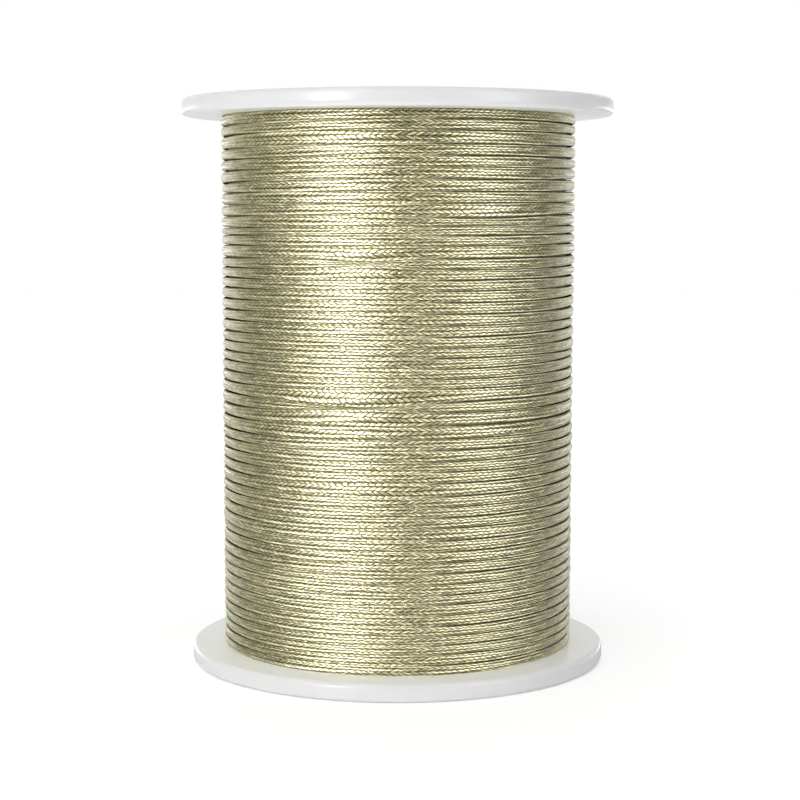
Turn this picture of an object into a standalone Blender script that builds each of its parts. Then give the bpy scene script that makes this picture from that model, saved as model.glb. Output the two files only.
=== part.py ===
"""A spool of satin cord: a moulded plastic spool, and the fine braided cord wound on it.

Metres, +Z up. The origin is at the middle of the face that the spool stands on.
"""

import math

import bpy

# Spool
HEIGHT = 0.0737
FLANGE_THICKNESS = 0.00234
TOP_FLANGE_RADIUS = 0.0282
BOTTOM_FLANGE_RADIUS = 0.0273
RIM_ROUND = 0.0009
BARREL_RADIUS = 0.011
BORE_RADIUS = 0.008
BORE_ROUND = 0.0006
SPOOL_STEPS = 64
ROUND_STEPS = 3

# Winding
WINDING_RADIUS = 0.0230
GROOVE_DEPTH = 0.00036
SHOULDER = 0.22  # of a turn's height, from its groove to where its face is full
CLEARANCE = 0.0003
WINDING_STEPS = 36

# How tight the turns lie, from the bottom of the winding to its top. Each row holds for its
# number of turns, and the rows together fill the height between the flanges.
TURN_ROWS = (
    {"turns": 7, "height": 0.00120},
    {"turns": 13, "height": 0.00131},
    {"turns": 4, "height": 0.00148},
    {"turns": 14, "height": 0.00132},
    {"turns": 10, "height": 0.00147},
    {"turns": 2, "height": 0.00125},
)

PLASTIC = {"color": (0.86, 0.86, 0.86, 1.0), "roughness": 0.28, "metallic": 0.0}
SATIN = {"color": (0.46, 0.43, 0.24, 1.0), "roughness": 0.38, "metallic": 0.0}


def clear_scene():
    for obj in list(bpy.data.objects):
        bpy.data.objects.remove(obj, do_unlink=True)


def new_collection(name):
    collection = bpy.data.collections.new(name)
    bpy.context.scene.collection.children.link(collection)
    return collection


def new_material(name, finish):
    material = bpy.data.materials.new(name)
    material.use_nodes = True
    shader = material.node_tree.nodes["Principled BSDF"]
    shader.inputs["Base Color"].default_value = finish["color"]
    shader.inputs["Roughness"].default_value = finish["roughness"]
    shader.inputs["Metallic"].default_value = finish["metallic"]
    material.diffuse_color = finish["color"]
    return material


def quarter_round(middle, radius, start_degrees):
    """Points (r, z) of a quarter circle, turning clockwise from its start angle."""
    points = []
    for step in range(ROUND_STEPS + 1):
        angle = math.radians(start_degrees - 90 * step / ROUND_STEPS)
        points.append((middle[0] + radius * math.cos(angle), middle[1] + radius * math.sin(angle)))
    return points


def flange_rim(radius, low, high):
    """A flange's rounded rim, from its upper face down to its lower one."""
    inside = radius - RIM_ROUND
    upper = quarter_round((inside, high - RIM_ROUND), RIM_ROUND, 90)
    lower = quarter_round((inside, low + RIM_ROUND), RIM_ROUND, 0)
    return upper + lower


def spool_outline():
    """The spool's half section, from the top of the bore out, down the outside and back up."""
    mouth = BORE_RADIUS + BORE_ROUND
    top = quarter_round((mouth, HEIGHT - BORE_ROUND), BORE_ROUND, 180)
    top_rim = flange_rim(TOP_FLANGE_RADIUS, HEIGHT - FLANGE_THICKNESS, HEIGHT)
    barrel = [(BARREL_RADIUS, HEIGHT - FLANGE_THICKNESS), (BARREL_RADIUS, FLANGE_THICKNESS)]
    bottom_rim = flange_rim(BOTTOM_FLANGE_RADIUS, 0.0, FLANGE_THICKNESS)
    bottom = quarter_round((mouth, BORE_ROUND), BORE_ROUND, 270)
    return top + top_rim + barrel + bottom_rim + bottom


def turn_levels(low, high):
    """The heights of the grooves between turns, from the top of the winding down to its foot."""
    heights = []
    for row in TURN_ROWS:
        heights += [row["height"]] * row["turns"]
    scale = (high - low) / sum(heights)
    levels = [low]
    for height in heights:
        levels.append(levels[-1] + height * scale)
    return levels[::-1]


def winding_outline():
    """The winding's half section: flat-faced turns with a groove between each two."""
    low = FLANGE_THICKNESS + CLEARANCE
    high = HEIGHT - FLANGE_THICKNESS - CLEARANCE
    groove = WINDING_RADIUS - GROOVE_DEPTH
    inside = BARREL_RADIUS + CLEARANCE
    levels = turn_levels(low, high)
    outline = [(inside, high), (groove, high)]
    for above, below in zip(levels, levels[1:]):
        shoulder = (above - below) * SHOULDER
        outline.append((WINDING_RADIUS, above - shoulder))
        outline.append((WINDING_RADIUS, below + shoulder))
        outline.append((groove, below))
    outline.append((inside, low))
    return outline


def turned(name, outline, steps, material, collection):
    """A closed half section, its outer side running down, turned round the Z axis."""
    mesh = bpy.data.meshes.new(name)
    points = [(radius, 0.0, height) for radius, height in outline]
    edges = [(index, (index + 1) % len(points)) for index in range(len(points))]
    mesh.from_pydata(points, edges, [])
    obj = bpy.data.objects.new(name, mesh)
    collection.objects.link(obj)
    obj.data.materials.append(material)
    screw = obj.modifiers.new("turned", "SCREW")
    screw.axis = "Z"
    screw.angle = math.radians(360)
    screw.steps = steps
    screw.render_steps = steps
    screw.use_merge_vertices = True
    screw.merge_threshold = 0.00001
    screw.use_smooth_shade = True
    return obj


def main():
    clear_scene()
    collection = new_collection("satin_cord_spool")
    plastic = new_material("spool_plastic", PLASTIC)
    satin = new_material("cord_satin", SATIN)
    turned("spool", spool_outline(), SPOOL_STEPS, plastic, collection)
    turned("winding", winding_outline(), WINDING_STEPS, satin, collection)


main()
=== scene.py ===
import math

import bpy
import numpy as np
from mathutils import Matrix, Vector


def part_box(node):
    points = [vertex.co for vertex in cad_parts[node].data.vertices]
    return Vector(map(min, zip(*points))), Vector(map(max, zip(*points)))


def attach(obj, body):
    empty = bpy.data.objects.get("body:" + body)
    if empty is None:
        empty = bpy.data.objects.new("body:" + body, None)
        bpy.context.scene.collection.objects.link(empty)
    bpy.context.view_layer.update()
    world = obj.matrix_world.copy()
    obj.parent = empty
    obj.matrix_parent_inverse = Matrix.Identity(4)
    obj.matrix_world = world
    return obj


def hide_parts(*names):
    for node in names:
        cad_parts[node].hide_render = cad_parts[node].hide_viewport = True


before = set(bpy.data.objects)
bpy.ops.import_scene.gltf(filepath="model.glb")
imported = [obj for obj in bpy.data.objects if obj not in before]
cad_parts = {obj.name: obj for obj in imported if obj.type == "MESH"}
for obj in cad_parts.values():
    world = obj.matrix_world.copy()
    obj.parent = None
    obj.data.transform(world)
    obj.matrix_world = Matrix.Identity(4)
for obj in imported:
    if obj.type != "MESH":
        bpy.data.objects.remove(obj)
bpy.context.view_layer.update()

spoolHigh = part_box("spool")[1]


# small helpers

def deselectAll():
    if bpy.context.mode != "OBJECT":
        bpy.ops.object.mode_set(mode="OBJECT")
    bpy.ops.object.select_all(action="DESELECT")


def editMode(obj, pick="VERT"):
    bpy.context.view_layer.objects.active = obj
    obj.select_set(True)
    bpy.ops.object.mode_set(mode="EDIT")
    bpy.ops.mesh.select_mode(type=pick)
    bpy.ops.mesh.select_all(action="DESELECT")


def selectFaces(obj, test):
    # picks the faces whose middle and normal pass the test
    bpy.ops.object.mode_set(mode="OBJECT")
    for face in obj.data.polygons:
        face.select = test(face.center, face.normal)
    bpy.ops.object.mode_set(mode="EDIT")
    bpy.ops.mesh.select_mode(type="FACE")


def selectPoints(obj, test):
    # picks the points whose place passes the test
    bpy.ops.mesh.select_all(action="DESELECT")
    bpy.ops.object.mode_set(mode="OBJECT")
    for point in obj.data.vertices:
        point.select = test(point.co)
    bpy.ops.object.mode_set(mode="EDIT")
    bpy.ops.mesh.select_mode(type="VERT")


def applyPlace(obj):
    deselectAll()
    obj.select_set(True)
    bpy.context.view_layer.objects.active = obj
    bpy.ops.object.transform_apply(location=True, rotation=True, scale=True)


# shader maths written as plain sums

def addNode(tree, kind, settings=None, values=None, output=0):
    node = tree.nodes.new(kind)
    for name, value in (settings or {}).items():
        setattr(node, name, value)
    for name, value in (values or {}).items():
        if isinstance(value, Wire):
            tree.links.new(value.socket, node.inputs[name])
        else:
            node.inputs[name].default_value = value
    return Wire(tree, node.outputs[output])


class Wire:
    # a node's output that can be added, multiplied and so on; each step adds a Math node
    def __init__(self, tree, socket):
        self.tree = tree
        self.socket = socket

    def maths(self, operation, *values):
        return addNode(self.tree, "ShaderNodeMath", {"operation": operation},
                       dict(enumerate(values)))

    def __add__(self, other):
        return self.maths("ADD", self, other)

    def __radd__(self, other):
        return self.maths("ADD", other, self)

    def __sub__(self, other):
        return self.maths("SUBTRACT", self, other)

    def __rsub__(self, other):
        return self.maths("SUBTRACT", other, self)

    def __mul__(self, other):
        return self.maths("MULTIPLY", self, other)

    def __rmul__(self, other):
        return self.maths("MULTIPLY", other, self)

    def __pow__(self, other):
        return self.maths("POWER", self, other)

    def limited(self):
        # kept from 0 to 1
        return self.maths("MAXIMUM", self.maths("MINIMUM", self, 1.0), 0.0)

    def part(self, name):
        # one of a vector's three numbers
        return addNode(self.tree, "ShaderNodeSeparateXYZ", None, {0: self}, name)


def mixColors(tree, share, first, second):
    return addNode(tree, "ShaderNodeMix", {"data_type": "RGBA"},
                   {0: share, 6: first, 7: second}, 2)


def newFinish(name):
    finish = bpy.data.materials.new(name)
    finish.use_nodes = True
    return finish, finish.node_tree, finish.node_tree.nodes["Principled BSDF"]


def feed(tree, shader, values):
    for name, value in values.items():
        if isinstance(value, Wire):
            tree.links.new(value.socket, shader.inputs[name])
        else:
            shader.inputs[name].default_value = value


# camera, placed as the photographer's

camera = {
    "place": (0.00034, -0.2562, 0.05935),
    "tilt": 0.098,            # radians below level
    "lens": 87.14,            # mm
    "frame": 36,              # mm
    "nearest": 0.005,
    "farthest": 20,
}


def makeCamera():
    bpy.ops.object.camera_add(location=camera["place"],
                              rotation=(math.pi / 2 - camera["tilt"], 0, 0))
    shot = bpy.context.object
    shot.name = "camera"
    shot.data.lens = camera["lens"]
    shot.data.sensor_width = camera["frame"]
    shot.data.clip_start = camera["nearest"]
    shot.data.clip_end = camera["farthest"]
    bpy.context.scene.camera = shot


# studio

studio = {
    "floorSize": 2.2,
    "floorColor": (0.90, 0.90, 0.915, 1),
    "floorRoughness": 0.7,
    "floorShine": 0.1,
    "floorGlow": 0.28,        # seen by the camera only, as a white ground is lifted in a picture
    "skylight": 1.20,         # a wide light straight above, even all over the floor
    "skylightSpread": 60,
    "lightBehind": 1.55,      # of the room, behind the spool and behind the camera
    "lightInFront": 0.25,
    "lightFade": 6.0,         # how fast the light behind falls off towards the front
    "backdrop": 1.0,          # seen by the camera only
}

# each softbox: which way it stands from the spool (0 is the camera's side, + is to the right),
# how high, how far, its width and height, and how bright its face is
softboxes = {
    "keyLight": {"turn": -24, "rise": 10, "away": 0.62, "size": (0.60, 0.40), "glow": 1.85},
    "keySheen": {"turn": -34.0, "rise": 4, "away": 0.60, "size": (0.22, 0.28), "glow": 74.0,
                 "sheenOnly": True},
    "keyTall": {"turn": -34.5, "rise": 24, "away": 0.60, "size": (0.22, 1.30), "glow": 17.0,
                "sheenOnly": True},
    "rightSheen": {"turn": 53, "rise": 5, "away": 0.78, "size": (0.38, 0.34), "glow": 32.0,
                   "sheenOnly": True},
    "rightTall": {"turn": 53, "rise": 24, "away": 0.78, "size": (0.38, 1.50), "glow": 10.0,
                  "sheenOnly": True},
    "leftSheen": {"turn": -66, "rise": 8, "away": 0.80, "size": (0.70, 0.60), "glow": 5.0,
                  "sheenOnly": True},
    "leftEdge": {"turn": -143, "rise": 0, "away": 0.90, "size": (0.56, 0.09), "glow": 10.0,
                 "sheenOnly": True},
    "rightEdge": {"turn": 140, "rise": 0, "away": 0.90, "size": (0.56, 0.09), "glow": 9.0,
                  "sheenOnly": True},
}
aimHeight = 0.036             # where the softboxes point, half way up the spool


def makeStudio():
    deselectAll()
    bpy.ops.mesh.primitive_plane_add(size=studio["floorSize"], location=(0, 0, 0))
    floor = bpy.context.object
    floor.name = "floor"
    finish, tree, shader = newFinish("paleFloor")
    seen = addNode(tree, "ShaderNodeLightPath")
    glow = mixColors(tree, seen, (0, 0, 0, 1), (studio["floorGlow"],) * 3 + (1,))
    feed(tree, shader, {"Base Color": studio["floorColor"],
                        "Roughness": studio["floorRoughness"],
                        "Specular IOR Level": studio["floorShine"],
                        "Emission Color": glow,
                        "Emission Strength": 1.0})
    floor.data.materials.append(finish)

    world = bpy.data.worlds.new("studioAir")
    bpy.context.scene.world = world
    world.use_nodes = True
    tree = world.node_tree
    seen = addNode(tree, "ShaderNodeLightPath")
    behind = addNode(tree, "ShaderNodeTexCoord").part("Y") * 0.5 + 0.5
    extra = studio["lightBehind"] - studio["lightInFront"]
    room = (behind ** studio["lightFade"]) * extra + studio["lightInFront"]
    strength = room + (studio["backdrop"] - room) * seen
    background = tree.nodes["Background"]
    background.inputs["Color"].default_value = (1, 1, 1, 1)
    tree.links.new(strength.socket, background.inputs["Strength"])

    bpy.ops.object.light_add(type="SUN", location=(0, 0, 1))
    sky = bpy.context.object
    sky.name = "skylight"
    sky.data.energy = studio["skylight"]
    sky.data.angle = math.radians(studio["skylightSpread"])

    for name, box in softboxes.items():
        turn, rise = math.radians(box["turn"]), math.radians(box["rise"])
        place = (box["away"] * math.cos(rise) * math.sin(turn),
                 -box["away"] * math.cos(rise) * math.cos(turn),
                 aimHeight + box["away"] * math.sin(rise))
        bpy.ops.object.light_add(type="AREA", location=place,
                                 rotation=(math.pi / 2 - rise, 0, turn))
        lamp = bpy.context.object
        lamp.name = name
        lamp.data.shape = "RECTANGLE"
        lamp.data.size, lamp.data.size_y = box["size"]
        lamp.visible_diffuse = not box.get("sheenOnly", False)
        lamp.data.energy = box["glow"] * math.pi * box["size"][0] * box["size"][1]

    bpy.context.scene.view_settings.view_transform = "Standard"
    print("studio set")


# spool: one plastic moulding, two flanges on a tubular barrel

# sizes in metres
spoolSizes = {
    "height": spoolHigh.z,
    "thickness": 0.00234,
    "topThickness": 0.00224,
    "topRadius": spoolHigh.x,
    "bottomRadius": 0.0273,
    "barrelRadius": 0.011,
    "boreRadius": 0.008,
    "rimRound": 0.00065,
    "rimSteps": 7,
    "boreRound": 0.0006,
    "boreSteps": 4,
    "sides": 224,
    "smoothBelow": 32,        # degrees
}


def makeSpool():
    s = spoolSizes
    underTop = s["height"] - s["topThickness"]
    # half of its section, walked round from the foot of the bore
    corners = (
        {"out": s["boreRadius"], "up": 0.0},
        {"out": s["bottomRadius"], "up": 0.0},
        {"out": s["bottomRadius"], "up": s["thickness"]},
        {"out": s["barrelRadius"], "up": s["thickness"]},
        {"out": s["barrelRadius"], "up": underTop},
        {"out": s["topRadius"], "up": underTop},
        {"out": s["topRadius"], "up": s["height"]},
        {"out": s["boreRadius"], "up": s["height"]},
    )
    deselectAll()
    bpy.ops.mesh.primitive_plane_add(size=0.001, location=(0, 0, 0))
    spool = bpy.context.object
    spool.name = "spoolMoulding"
    editMode(spool)
    bpy.ops.mesh.select_all(action="SELECT")
    bpy.ops.mesh.merge(type="CENTER")
    bpy.ops.transform.translate(value=(corners[0]["out"], 0, corners[0]["up"]))
    for start, end in zip(corners, corners[1:]):
        step = (end["out"] - start["out"], 0, end["up"] - start["up"])
        bpy.ops.mesh.extrude_region_move(TRANSFORM_OT_translate={"value": step})
    bpy.ops.mesh.select_all(action="SELECT")
    bpy.ops.mesh.edge_face_add()

    # rounded rims, and a finer round at both mouths of the bore
    selectPoints(spool, lambda point: point.x > s["barrelRadius"] + s["rimRound"])
    bpy.ops.mesh.bevel(offset=s["rimRound"], segments=s["rimSteps"], affect="VERTICES")
    selectPoints(spool, lambda point: point.x < s["boreRadius"] + s["boreRound"] / 2)
    bpy.ops.mesh.bevel(offset=s["boreRound"], segments=s["boreSteps"], affect="VERTICES")

    # the section is turned round the spool's axis
    bpy.ops.mesh.select_all(action="SELECT")
    bpy.ops.mesh.delete(type="ONLY_FACE")
    bpy.ops.mesh.select_all(action="SELECT")
    bpy.ops.mesh.spin(steps=s["sides"], angle=2 * math.pi, center=(0, 0, 0), axis=(0, 0, 1))
    bpy.ops.mesh.select_all(action="SELECT")
    bpy.ops.mesh.remove_doubles(threshold=1e-6)
    bpy.ops.mesh.normals_make_consistent(inside=False)
    deselectAll()
    spool.select_set(True)
    bpy.context.view_layer.objects.active = spool
    bpy.ops.object.shade_smooth_by_angle(angle=math.radians(s["smoothBelow"]))
    spool.data.materials.append(mouldedPlastic())
    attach(spool, "root")
    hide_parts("spool")
    print("spool moulded", len(spool.data.polygons), "faces")


plastic = {
    "color": (0.885, 0.885, 0.893, 1),
    "shade": (0.865, 0.865, 0.873, 1),
    "roughness": 0.17,
    "roughnessChange": 0.10,
    "shine": 0.03,
    "cloudScale": 90.0,
    "skinScale": 2200.0,
    "cloudHeight": 3.0,
    "bump": 0.35,
    "bumpDepth": 0.00001,
}


def mouldedPlastic():
    finish, tree, shader = newFinish("whitePlastic")
    place = addNode(tree, "ShaderNodeTexCoord", None, None, "Object")
    clouds = addNode(tree, "ShaderNodeTexNoise", None,
                     {"Vector": place, "Scale": plastic["cloudScale"], "Detail": 3.0}, "Fac")
    skin = addNode(tree, "ShaderNodeTexNoise", None,
                   {"Vector": place, "Scale": plastic["skinScale"], "Detail": 2.0}, "Fac")
    color = mixColors(tree, clouds, plastic["color"], plastic["shade"])
    bump = addNode(tree, "ShaderNodeBump", None,
                   {"Strength": plastic["bump"], "Distance": plastic["bumpDepth"],
                    "Height": skin + clouds * plastic["cloudHeight"]})
    feed(tree, shader, {"Base Color": color,
                        "Roughness": clouds * plastic["roughnessChange"] + plastic["roughness"],
                        "Normal": bump, "IOR": 1.5, "Specular IOR Level": plastic["shine"]})
    return finish


# winding: one braided cord, laid turn on turn

cord = {
    "turns": 51,
    "lengths": 6,             # the one cord is made in this many pieces, which meet at the back
    "topRadius": 0.02320,     # of the winding, over the crests of the turns
    "footRadius": 0.02311,
    "drift": 0.00010,         # how far the winding lies to the right at its top
    "halfDepth": 0.00068,
    "roundness": 2.2,         # of its section: 2 is an ellipse, more is squarer
    "pressedFlat": 5.0,       # the same where it is pressed flat
    "rowsAround": 12,         # rows of stitches all round the cord
    "middleRow": 6,           # the row number at the middle of the side that shows
    "stitchesPerTurn": 170.37,
    "stitchSteps": 3,
    "lean": 1.0,              # stitches that a strand runs along while it crosses a row
    "relief": 0.00004,
    "climbAtBack": 0.80,      # how much of each turn's climb is kept to the far side
    "edgeWander": 0.045,      # how far a turn's edge strays, in turns
    "sink": 0.00003,          # how far a turn sinks on average between its neighbours
    "twist": 0.40,            # how far the cord rolls about its own length, in rows
    "heightChange": 0.025,    # how unevenly high the turns are
    "endTuck": 0.0011,        # how far each end dives under the turns
    "endRun": 0.10,           # over what share of a turn it dives
    "endSpread": 0.25,        # how much wider the first and last turns press at the flanges
    "endFade": 20,            # it comes over one part in this many of a turn
    "flangeGap": 0.00002,
    "sectionPoints": 1441,
    "smoothBelow": 80,        # degrees
}

# how tight the turns lie, from the foot up
turnRows = (
    {"turns": 4, "height": 0.00120},
    {"turns": 7, "height": 0.00129},
    {"turns": 4, "height": 0.00140},
    {"turns": 2, "height": 0.00130},
    {"turns": 1, "height": 0.00165},
    {"turns": 4, "height": 0.00133},
    {"turns": 1, "height": 0.00165},
    {"turns": 3, "height": 0.00150},
    {"turns": 5, "height": 0.00128},
    {"turns": 4, "height": 0.00138},
    {"turns": 3, "height": 0.00127},
    {"turns": 1, "height": 0.00155},
    {"turns": 1, "height": 0.00125},
    {"turns": 1, "height": 0.00095},
    {"turns": 5, "height": 0.00146},
    {"turns": 2, "height": 0.00137},
    {"turns": 1, "height": 0.00170},
    {"turns": 2, "height": 0.00125},
)

# places where a turn is pinched between its neighbours and sinks. The turn is counted from the
# foot, and side is the angle from the front, + to the right, in degrees
pinches = (
    {"turn": 41, "side": 26, "spread": 15, "pinch": 0.42, "sink": 0.00012},
    {"turn": 24, "side": -14, "spread": 17, "pinch": 0.85, "sink": 0.00034},
    {"turn": 37, "side": -10, "spread": 9, "pinch": 0.55, "sink": 0.00016},
    {"turn": 12, "side": -64, "spread": 22, "pinch": 0.40, "sink": 0.00010},
    {"turn": 31, "side": 118, "spread": 30, "pinch": 0.60, "sink": 0.00020},
    {"turn": 8, "side": 165, "spread": 20, "pinch": 0.42, "sink": 0.00012},
    {"turn": 44, "side": -120, "spread": 24, "pinch": 0.62, "sink": 0.00018},
    {"turn": 19, "side": -150, "spread": 34, "pinch": 0.46, "sink": 0.00014},
    {"turn": 28, "side": 82, "spread": 18, "pinch": 0.36, "sink": 0.00008},
)

# how the turns lie, round the winding: the side in degrees from the front, how full a turn is of
# its height (below 1 the turns part, above 1 they press together), and how flat its face is
lies = (
    {"side": -180, "press": 1.020, "flat": 0.6},
    {"side": -140, "press": 0.985, "flat": 0.4},
    {"side": -95, "press": 0.950, "flat": 0.1},
    {"side": -62, "press": 0.985, "flat": 0.5},
    {"side": -42, "press": 1.050, "flat": 1.0},
    {"side": -28, "press": 1.120, "flat": 1.0},
    {"side": -8, "press": 1.120, "flat": 1.0},
    {"side": 6, "press": 1.020, "flat": 1.0},
    {"side": 22, "press": 0.964, "flat": 1.0},
    {"side": 60, "press": 0.960, "flat": 0.6},
    {"side": 95, "press": 0.950, "flat": 0.1},
    {"side": 140, "press": 1.010, "flat": 0.5},
)
grooves = {
    "start": 0.22,            # how far down a turn's side the painted groove shade begins, and where it is full
    "full": 0.54,
    "pressChange": 0.006,     # how unevenly the turns press
}

random = np.random.default_rng(41)


def slowWaves(count, slowest, fastest):
    # a smooth, wandering value along the cord, about -1 to 1
    speeds = random.uniform(slowest, fastest, count)
    starts = random.uniform(0, 2 * np.pi, count)

    def value(turns):
        total = sum(np.sin(2 * np.pi * speed * turns + start)
                    for speed, start in zip(speeds, starts))
        return total / math.sqrt(count)
    return value


edgeWander = slowWaves(7, 0.6, 3.4)
sinkWander = slowWaves(6, 0.7, 4.0)
twistWander = slowWaves(6, 0.2, 1.6)
pressWander = slowWaves(6, 1.1, 6.0)


def turnEdges(low, high):
    heights = np.concatenate([[row["height"]] * row["turns"] for row in turnRows])
    change = cord["heightChange"]
    heights = heights * random.uniform(1 - change, 1 + change, len(heights))
    edges = np.concatenate([[0.0], np.cumsum(heights)])
    return low + edges * (high - low) / edges[-1]


windingEdges = turnEdges(
    spoolSizes["thickness"] + cord["flangeGap"],
    spoolSizes["height"] - spoolSizes["topThickness"] - cord["flangeGap"])
meanTurn = (windingEdges[-1] - windingEdges[0]) / cord["turns"]


def swell(turns, middle, spread):
    return np.exp(-0.5 * ((turns - middle) / spread) ** 2)


def pinchPlace(row):
    # the cord starts at the back, so the front is half a turn on
    return row["turn"] + 0.5 + row["side"] / 360, row["spread"] / 360


def turnEdge(turns):
    # height of the cord's lower edge after so many turns; its upper edge is one turn further on
    climbed = turns + cord["climbAtBack"] * np.sin(2 * np.pi * turns) / (2 * np.pi) - 0.5
    edge = np.interp(climbed, np.arange(len(windingEdges)), windingEdges)
    edge = edge + cord["edgeWander"] * meanTurn * edgeWander(turns)
    for row in pinches:
        middle, spread = pinchPlace(row)
        shift = 0.5 * row["pinch"] * meanTurn
        edge = edge + shift * (swell(turns, middle, spread) - swell(turns, middle + 1, spread))
    return np.clip(edge, windingEdges[0], windingEdges[-1])


def sunk(turns):
    # how far the cord lies below the winding's outside
    depth = cord["sink"] * (1 + sinkWander(turns))
    for row in pinches:
        middle, spread = pinchPlace(row)
        depth = depth + row["sink"] * swell(turns, middle, spread)
    fromEnd = np.minimum(turns, cord["turns"] - turns)
    return depth + cord["endTuck"] * np.clip(1 - fromEnd / cord["endRun"], 0, 1) ** 2


def lieAt(turns, what):
    side = np.mod(turns, 1) * 360 - 180
    sides = [row["side"] for row in lies] + [180]
    values = [row[what] for row in lies] + [lies[0][what]]
    return np.interp(side, sides, values)


def sectionTable(squareness):
    # a cord's section: the places round it in rows, and how far up and out each one lies
    angle = np.linspace(-np.pi, np.pi, cord["sectionPoints"])
    up = np.sign(np.sin(angle)) * np.abs(np.sin(angle)) ** (2 / squareness)
    out = np.sign(np.cos(angle)) * np.abs(np.cos(angle)) ** (2 / squareness)
    steps = np.hypot(np.diff(up) * 0.5 * meanTurn, np.diff(out) * cord["halfDepth"])
    run = np.concatenate([[0], np.cumsum(steps)])
    return (run / run[-1] - 0.5) * cord["rowsAround"], up, out


roundSection = sectionTable(cord["roundness"])
flatSection = sectionTable(cord["pressedFlat"])


def section(place, flat):
    upRound, outRound = (np.interp(place, roundSection[0], line) for line in roundSection[1:])
    upFlat, outFlat = (np.interp(place, flatSection[0], line) for line in flatSection[1:])
    return upRound + (upFlat - upRound) * flat, outRound + (outFlat - outRound) * flat


def zigzag(row):
    # runs from 0 to 1 and back over two rows, as the strands do
    return 1 - np.abs(np.mod(row, 2) - 1)


def braidRelief(stitch, row):
    # 0 in the furrows between stitches and rows, 1 on a stitch's crown
    across = np.mod(row, 1)
    leansBack = np.mod(np.floor(row + 1e-6), 2) > 0.5
    along = np.where(leansBack, stitch + cord["lean"] * (across - 1) + 1 / 3,
                     stitch - cord["lean"] * across)
    along = np.mod(along + 1e-6, 1)
    return np.sqrt(np.sin(np.pi * along)) * np.sqrt(np.abs(np.sin(np.pi * across)))


# where the mesh has its lines along the cord, in rows from the middle of the side that shows. The
# first and last are the middle of the hidden side
lines = np.concatenate([[-6, -3, -2.5], np.arange(-6, 7) / 3, [2.5, 3, 6]])


def makeLength(number):
    # one stretch of the cord: a grid laid along it and closed round it. Its points are placed in
    # code, because the turns press, part and sink all along
    stepsPerTurn = cord["stitchesPerTurn"] * cord["stitchSteps"]
    first, last = (round(stepsPerTurn * round(cord["turns"] * count / cord["lengths"]))
                   for count in (number, number + 1))
    steps, around = last - first, len(lines) - 1
    deselectAll()
    bpy.ops.mesh.primitive_grid_add(x_subdivisions=steps, y_subdivisions=around, size=2)
    length = bpy.context.object
    length.name = "cordLength%d" % (number + 1)
    mesh = length.data

    flat = np.zeros(len(mesh.vertices) * 3, np.float32)
    mesh.vertices.foreach_get("co", flat)
    flat = flat.reshape(-1, 3)
    column = np.rint((flat[:, 1] + 1) / 2 * around).astype(int)
    inner = (column == 0) | (column == around)
    row = cord["middleRow"] + lines[column]
    step = np.rint((flat[:, 0] + 1) / 2 * steps) + first
    stitch = step / cord["stitchSteps"] + np.where(inner, 0, cord["lean"] * (zigzag(row) - 0.5))
    turns = stitch / cord["stitchesPerTurn"]

    below, above = turnEdge(turns), turnEdge(turns + 1)
    press = lieAt(turns, "press") + grooves["pressChange"] * pressWander(turns)
    offset = row - cord["middleRow"] + cord["twist"] * twistWander(turns)
    place = np.where(inner, cord["rowsAround"] / 2, offset)
    upShare, outShare = section(place, lieAt(turns, "flat"))
    relief = np.where(inner, 0, braidRelief(stitch, row) - 1) * cord["relief"]
    atFoot = np.clip((1 - turns) * cord["endFade"], 0, 1) * (upShare < 0)
    atTop = np.clip((turns + 1 - cord["turns"]) * cord["endFade"], 0, 1) * (upShare > 0)
    press = press + cord["endSpread"] * (atFoot + atTop)
    height = (below + above) / 2 + ((above - below) / 2 * press + relief) * upShare
    height = np.clip(height, windingEdges[0], windingEdges[-1])
    crest = cord["footRadius"] + (cord["topRadius"] - cord["footRadius"]) * turns / cord["turns"]
    radius = crest - cord["halfDepth"] - sunk(turns) + (cord["halfDepth"] + relief) * outShare
    spot = 2 * np.pi * turns
    drift = cord["drift"] * np.clip(turns / cord["turns"] * 2 - 0.5, 0, 1)
    points = np.stack([drift - radius * np.sin(spot), radius * np.cos(spot), height], 1)
    mesh.vertices.foreach_set("co", points.astype(np.float32).ravel())

    # how far into a groove each point lies, for the material, which paints shade there by it
    depth = np.clip((1 - outShare - grooves["start"]) / (grooves["full"] - grooves["start"]), 0, 1)
    shade = mesh.attributes.new("grooveShadeMask", "FLOAT", "POINT")
    shade.data.foreach_set("value", (depth * (1 - atFoot) * (1 - atTop)).astype(np.float32))

    corner = np.zeros(len(mesh.loops), np.int32)
    mesh.loops.foreach_get("vertex_index", corner)
    pattern = np.stack([stitch, row], 1)[corner]
    mesh.uv_layers.active.name = "braid"
    mesh.uv_layers.active.data.foreach_set("uv", pattern.astype(np.float32).ravel())
    mesh.update()

    editMode(length)
    bpy.ops.mesh.select_all(action="SELECT")
    bpy.ops.mesh.remove_doubles(threshold=1e-7)
    bpy.ops.mesh.quads_convert_to_tris(quad_method="SHORTEST_DIAGONAL")
    bpy.ops.mesh.select_all(action="DESELECT")
    bpy.ops.mesh.select_non_manifold()
    bpy.ops.mesh.edge_face_add()
    bpy.ops.mesh.select_all(action="SELECT")
    bpy.ops.mesh.normals_make_consistent(inside=False)
    deselectAll()
    length.select_set(True)
    bpy.context.view_layer.objects.active = length
    bpy.ops.object.shade_smooth_by_angle(angle=math.radians(cord["smoothBelow"]))
    return length


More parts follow.
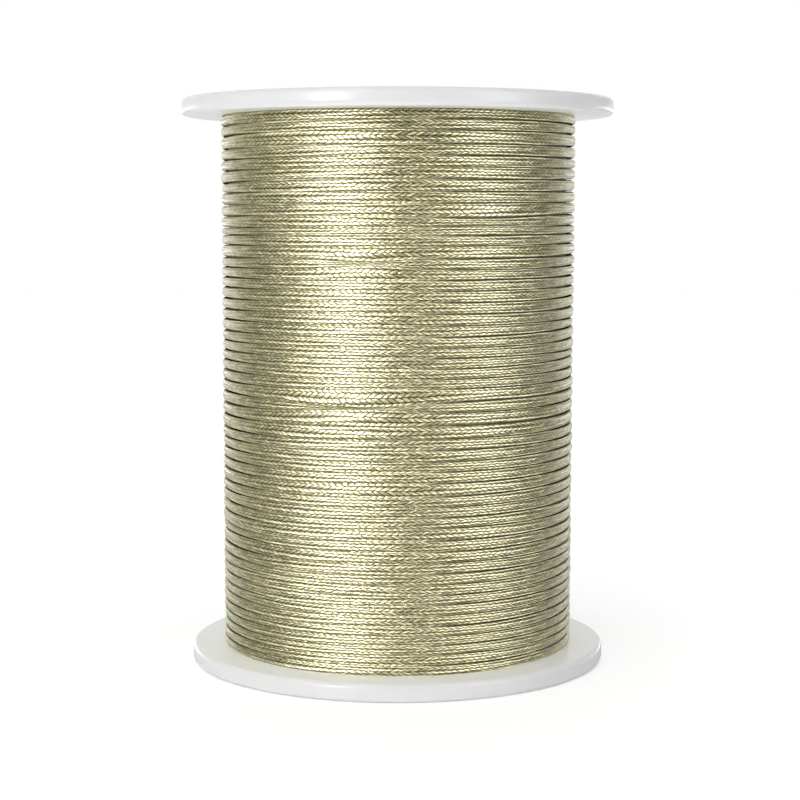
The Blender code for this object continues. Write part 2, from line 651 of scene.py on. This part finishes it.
satin = {
    "color": (0.53, 0.498, 0.226, 1),
    "shade": (0.20, 0.182, 0.071, 1),
    # the furrows between stitches and the grooves between turns are painted in these shade colours
    "paintedShade": (0.036, 0.030, 0.010, 1),
    "paintedGrooveShade": (0.010, 0.007, 0.001, 1),
    "sheenTint": (1.0, 0.97, 0.84, 1),
    "shineTint": (1.0, 0.99, 0.90, 1),
    "furrowTint": (0.5, 0.45, 0.25, 1),
    "roughness": 0.32,
    "roughnessChange": 0.14,
    "furrowRoughness": 0.38,
    "wander": 0.9,            # how far the stitches stray, in stitches, and the rows, in rows
    "rowWander": 0.5,
    "wanderScale": 0.55,
    "faceGain": 1.8,          # how wide the bright face of a stitch is, less faceStart
    "faceStart": 0.22,
    "edgeOnGain": 3.2,
    "filaments": 5,           # fine threads in a stitch
    "filamentHeight": 0.05,
    "bumpDepth": 0.00007,
    "acrossRun": 0.25,        # the shine lies a quarter turn from the cord's run
    "strandTurn": 0.07,       # how far a strand leans from the cord's run, in turns
}


def satinCord():
    finish, tree, forwardShader = newFinish("satinBraid")
    place = addNode(tree, "ShaderNodeUVMap", {"uv_map": "braid"})
    stray = addNode(tree, "ShaderNodeTexNoise", None,
                    {"Vector": place, "Scale": satin["wanderScale"], "Detail": 2.0}, "Color")
    stitch = place.part("X") + (stray.part("X") - 0.5) * satin["wander"]
    row = place.part("Y") + (stray.part("Y") - 0.5) * satin["rowWander"]
    across = row.maths("FRACT", row)
    leansBack = row.maths("FLOORED_MODULO", row.maths("FLOOR", row), 2.0)
    forward = stitch - across * cord["lean"]
    backward = stitch + across * cord["lean"] + (1 / 3 - cord["lean"])
    strand = forward + (backward - forward) * leansBack
    along = strand.maths("FRACT", strand)
    side = along * 2.0 - 1.0
    end = across * 2.0 - 1.0
    crown = ((1.0 - side * side) ** 0.7) * (1.0 - end * end)
    filaments = stitch.maths("SINE", along * (2 * math.pi * satin["filaments"]))
    number = addNode(tree, "ShaderNodeCombineXYZ", None,
                     {"X": strand.maths("FLOOR", strand), "Y": row.maths("FLOOR", row), "Z": 0.0})
    chance = addNode(tree, "ShaderNodeTexWhiteNoise", {"noise_dimensions": "3D"},
                     {"Vector": number}, "Value")
    color = mixColors(tree, chance, satin["shade"], satin["color"])
    # the painted shade in the grooves between turns follows this share
    grooveShadeMask = addNode(tree, "ShaderNodeAttribute", {"attribute_name": "grooveShadeMask"}, None, "Fac")
    # each stitch is bright nearly to its edges, with a thin furrow of painted shade round it
    middle = (1.0 - side * side) * (1.0 - end * end)
    face = (middle * satin["faceGain"] - satin["faceStart"]).limited()
    # seen from the side, the stitches hide the furrows between them, so the painted furrow shade
    # fades there; the high gain also paints the cord's edges lighter, standing in for light from
    # behind
    edgeOn = addNode(tree, "ShaderNodeLayerWeight", None, {"Blend": 0.5}, "Facing")
    hidden = (1.0 - face) * (edgeOn ** 3.0) * satin["edgeOnGain"]
    # where this share is low, the painted shade of the furrows and grooves shows
    lit = (face + hidden).limited() * (1.0 - grooveShadeMask)
    height = crown * (chance * 0.8 + 0.6) + filaments * satin["filamentHeight"]
    bump = addNode(tree, "ShaderNodeBump", None,
                   {"Strength": 1.0, "Distance": satin["bumpDepth"], "Height": height})
    values = {"Base Color": color,
              "Roughness": chance * satin["roughnessChange"] + satin["roughness"],
              "Normal": bump, "IOR": 1.75, "Specular IOR Level": 1.0,
              "Specular Tint": satin["shineTint"], "Metallic": 0.15,
              "Coat Weight": lit * 0.1, "Coat Roughness": 0.2, "Anisotropic": 1.0,
              "Sheen Weight": 0.5, "Sheen Roughness": 0.25, "Sheen Tint": satin["sheenTint"]}
    # the threads shine across their own run, so the rows that lean forward and those that lean
    # back catch the light at different places
    feed(tree, forwardShader, values)
    forwardTurn = satin["acrossRun"] + satin["strandTurn"]
    backTurn = satin["acrossRun"] - satin["strandTurn"]
    forwardShader.inputs["Anisotropic Rotation"].default_value = forwardTurn
    backShader = tree.nodes.new("ShaderNodeBsdfPrincipled")
    feed(tree, backShader, values)
    backShader.inputs["Anisotropic Rotation"].default_value = backTurn
    strands = addNode(tree, "ShaderNodeMixShader", None,
                      {0: leansBack, 1: Wire(tree, forwardShader.outputs[0]),
                       2: Wire(tree, backShader.outputs[0])})
    # the furrows are painted shade, dark metal with little shine, and the grooves between turns a
    # near-black painted shade with none
    paintedShadeShader = tree.nodes.new("ShaderNodeBsdfPrincipled")
    feed(tree, paintedShadeShader, {"Base Color": mixColors(tree, grooveShadeMask, satin["paintedShade"], satin["paintedGrooveShade"]),
                              "Roughness": satin["furrowRoughness"], "Specular IOR Level": 0.0,
                              "Metallic": 1.0 - grooveShadeMask,
                              "Specular Tint": satin["furrowTint"], "Normal": bump,
                              "Anisotropic": 0.9, "Anisotropic Rotation": satin["acrossRun"]})
    both = addNode(tree, "ShaderNodeMixShader", None,
                   {0: lit, 1: Wire(tree, paintedShadeShader.outputs[0]), 2: strands})
    tree.links.new(both.socket, tree.nodes["Material Output"].inputs["Surface"])
    return finish


underLayer = {
    "radius": 0.02212,
    "inside": 0.01130,
    "sides": 96,
    "flangeGap": 0.0003,
    "smoothBelow": 40,        # degrees
    "roughness": 0.5,
    "roughnessChange": 0.2,
}


def makeUnderLayer(finish):
    # the layer of cord below, seen only between turns and coloured as painted shade
    u = underLayer
    low, high = windingEdges[0] + u["flangeGap"], windingEdges[-1] - u["flangeGap"]
    deselectAll()
    bpy.ops.mesh.primitive_cylinder_add(vertices=u["sides"], radius=u["radius"], depth=high - low,
                                        end_fill_type="NGON", location=(0, 0, (low + high) / 2))
    layer = bpy.context.object
    layer.name = "layerBelow"
    applyPlace(layer)
    editMode(layer, "FACE")
    selectFaces(layer, lambda middle, normal: abs(normal.z) > 0.9)
    bpy.ops.mesh.inset(thickness=u["radius"] - u["inside"])
    bpy.ops.mesh.bridge_edge_loops()
    bpy.ops.mesh.select_all(action="SELECT")
    bpy.ops.mesh.normals_make_consistent(inside=False)
    deselectAll()
    layer.select_set(True)
    bpy.context.view_layer.objects.active = layer
    bpy.ops.object.shade_smooth_by_angle(angle=math.radians(u["smoothBelow"]))
    layer.data.materials.append(finish)
    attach(layer, "root")
    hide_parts("winding")
    print("layer below set")


def paintedShadeCord():
    # the layer is painted as shade, in one lighter and one darker band to a turn; a wave of scale
    # 1 runs 20 radians a metre
    finish, tree, shader = newFinish("satinPaintedShade")
    place = addNode(tree, "ShaderNodeTexCoord", None, None, "Object")
    u = underLayer
    scale = 1 / meanTurn / 20 * math.pi * 2
    bands = addNode(tree, "ShaderNodeTexWave", {"bands_direction": "Z"},
                    {"Vector": place, "Scale": scale, "Distortion": 0.4}, "Fac")
    feed(tree, shader, {"Base Color": mixColors(tree, bands, satin["paintedShade"], satin["shade"]),
                        "Roughness": bands * u["roughnessChange"] + u["roughness"]})
    return finish


def makeWinding():
    makeUnderLayer(paintedShadeCord())
    finish = satinCord()
    for number in range(cord["lengths"]):
        length = makeLength(number)
        length.data.materials.append(finish)
        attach(length, "root")
        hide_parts("winding")
        print("cord length", number + 1, "laid,", len(length.data.polygons), "faces")


print("frame read")
makeCamera()
makeStudio()
makeSpool()
makeWinding()
